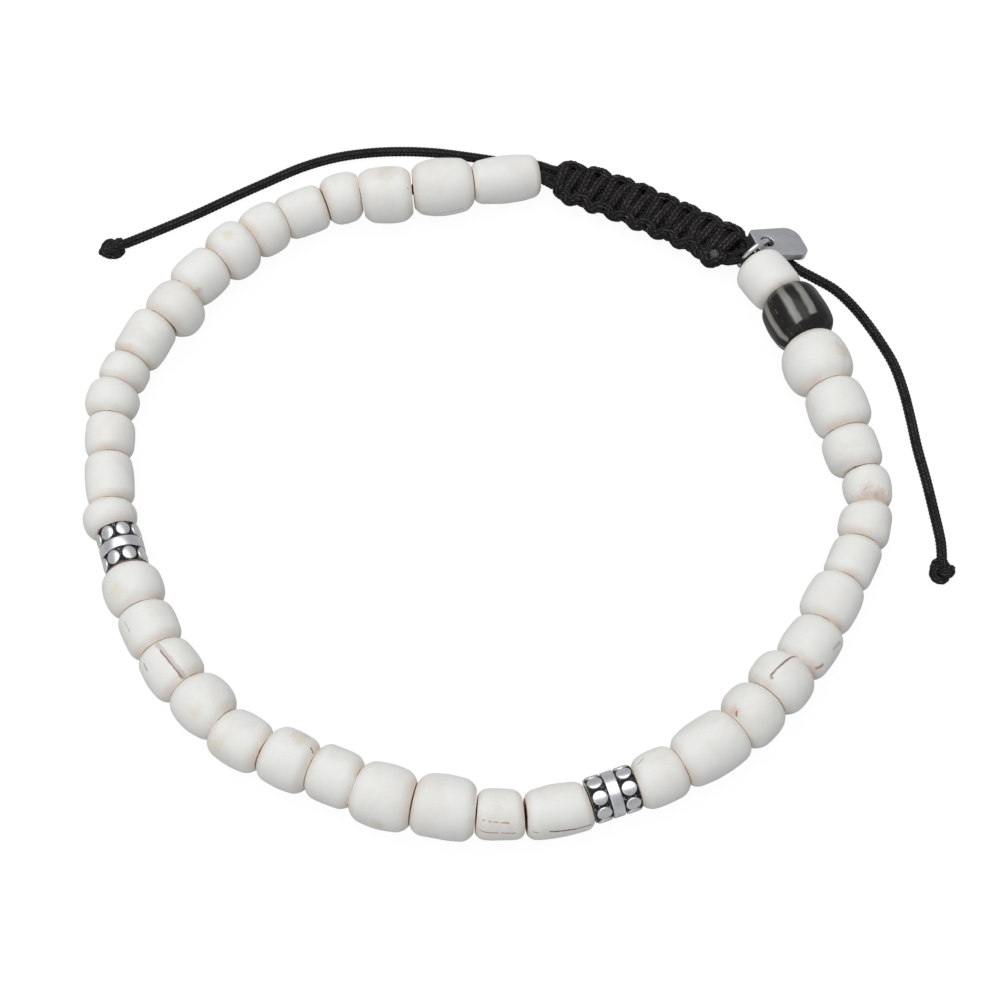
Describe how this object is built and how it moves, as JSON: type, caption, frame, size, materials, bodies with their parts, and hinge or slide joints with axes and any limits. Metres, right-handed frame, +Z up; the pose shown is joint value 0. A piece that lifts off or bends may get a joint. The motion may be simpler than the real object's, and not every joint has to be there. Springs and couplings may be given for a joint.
{
  "type": "beaded anklet",
  "caption": "Beaded anklet: matt white barrel beads, a striped dark bead and studded silver spacers on a black braided cord with a knotted sliding closure, two knotted tails and a bare tag.",
  "frame": {"origin": "under the middle of the anklet without its tails, on the surface it lies on", "axes": "+Z up from the surface, +Y towards the knotted band, +X towards the side with the tag"},
  "size_m": [0.0954, 0.0863, 0.0077],
  "materials": {
    "white_bead": "matt, warm off-white with faint pinkish veins and rims",
    "striped_bead": "glossy black with grey lengthwise stripes",
    "silver_spacer": "polished silver relief on a blackened ground",
    "cord": "fine waxed braid",
    "knotted_cord": "square knots of the same waxed braid",
    "silver_ring": "polished silver wire",
    "silver_tag": "satin silver, bare"
  },
  "bodies": {
    "root": {"bead_01": "white_bead", "bead_03": "white_bead", "bead_04": "white_bead", "bead_05": "white_bead", "bead_06": "white_bead", "bead_07": "white_bead", "bead_08": "white_bead", "bead_09": "white_bead", "bead_10": "white_bead", "bead_11": "white_bead", "bead_12": "white_bead", "bead_13": "white_bead", "bead_14": "white_bead", "bead_16": "white_bead", "bead_17": "white_bead", "bead_18": "white_bead", "bead_19": "white_bead", "bead_20": "white_bead", "bead_21": "white_bead", "bead_22": "white_bead", "bead_23": "white_bead", "bead_24": "white_bead", "bead_25": "white_bead", "bead_26": "white_bead", "bead_28": "white_bead", "bead_29": "white_bead", "bead_30": "white_bead", "bead_31": "white_bead", "bead_32": "white_bead", "bead_33": "white_bead", "bead_34": "white_bead", "bead_35": "white_bead", "bead_36": "white_bead", "bead_37": "white_bead", "bead_38": "white_bead", "bead_39": "white_bead", "bead_40": "white_bead", "bead_41": "white_bead", "bead_42": "white_bead", "striped_bead": "striped_bead", "spacer_right": "silver_spacer", "spacer_left": "silver_spacer", "string": "cord", "knot_band": "knotted_cord", "left_tail": "cord", "left_tail_knot": "cord", "right_tail": "cord", "right_tail_knot": "cord", "jump_ring": "silver_ring", "tag": "silver_tag"}
  },
  "joints": []
}
